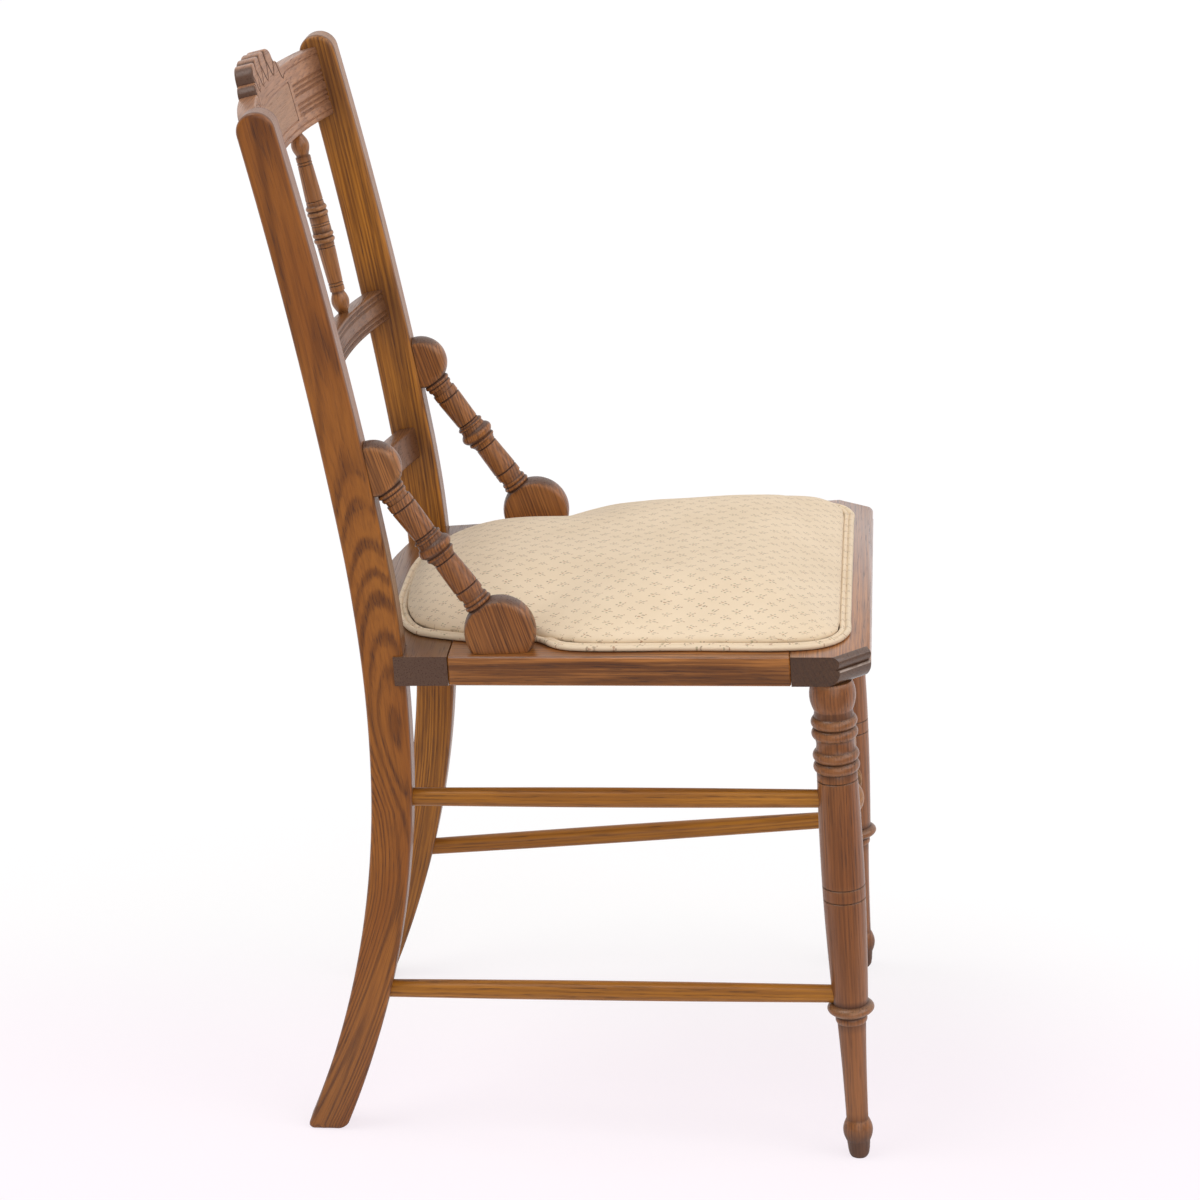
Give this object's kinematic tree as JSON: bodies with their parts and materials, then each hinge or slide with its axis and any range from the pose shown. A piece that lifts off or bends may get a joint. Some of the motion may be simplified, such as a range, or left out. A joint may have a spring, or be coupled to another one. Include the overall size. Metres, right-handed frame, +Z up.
{
  "type": "side chair",
  "caption": "Wooden side chair with a pressed and lobed crest rail, turned spindles, hip braces and front legs, sabre back posts and a padded seat edged with double welt.",
  "frame": {"origin": "middle of the chair's bounding box, on the floor", "axes": "+Z up; the sitter faces -Y, so the back is on the +Y side and the sitter's right is -X"},
  "size_m": [0.437, 0.5412, 0.9123],
  "materials": {
    "oak_brown": "semi-gloss varnish over open-grained brown wood",
    "oak_golden": "semi-gloss varnish over golden brown wood",
    "beech_dowel": "bare wood",
    "plywood": "bare board",
    "cream_cloth": "matt cream cloth with a small sprig print",
    "screw_steel": "plain steel"
  },
  "bodies": {
    "root": {"back_post_right": "oak_brown", "back_post_left": "oak_brown", "crest_rail": "oak_brown", "mid_rail": "oak_brown", "lower_back_rail": "oak_brown", "back_spindle_right": "oak_brown", "back_spindle_centre": "oak_brown", "back_spindle_left": "oak_brown", "seat_front_rail": "oak_brown", "seat_rear_rail": "oak_brown", "seat_side_rail_right": "oak_brown", "seat_side_rail_left": "oak_brown", "front_leg_right": "oak_brown", "front_leg_left": "oak_brown", "hip_brace_right": "oak_brown", "hip_brace_left": "oak_brown", "side_stretcher_upper_right": "oak_golden", "side_stretcher_upper_left": "oak_golden", "side_stretcher_lower_right": "oak_golden", "side_stretcher_lower_left": "oak_golden", "front_stretcher": "oak_golden", "seat_board": "plywood", "seat_cushion": "cream_cloth", "seat_welt": "cream_cloth", "seat_dowel_rear_outer_right": "beech_dowel", "seat_dowel_rear_inner_right": "beech_dowel", "seat_dowel_front_outer_right": "beech_dowel", "seat_dowel_front_inner_right": "beech_dowel", "seat_dowel_rear_outer_left": "beech_dowel", "seat_dowel_rear_inner_left": "beech_dowel", "seat_dowel_front_outer_left": "beech_dowel", "seat_dowel_front_inner_left": "beech_dowel", "post_dowel_right": "beech_dowel", "post_dowel_left": "beech_dowel", "brace_dowel_upper_right": "beech_dowel", "brace_dowel_lower_right": "beech_dowel", "brace_dowel_upper_left": "beech_dowel", "brace_dowel_lower_left": "beech_dowel", "board_screw_rear_right": "screw_steel", "board_screw_rear_left": "screw_steel", "board_screw_front_right": "screw_steel", "board_screw_front_left": "screw_steel"}
  },
  "joints": []
}
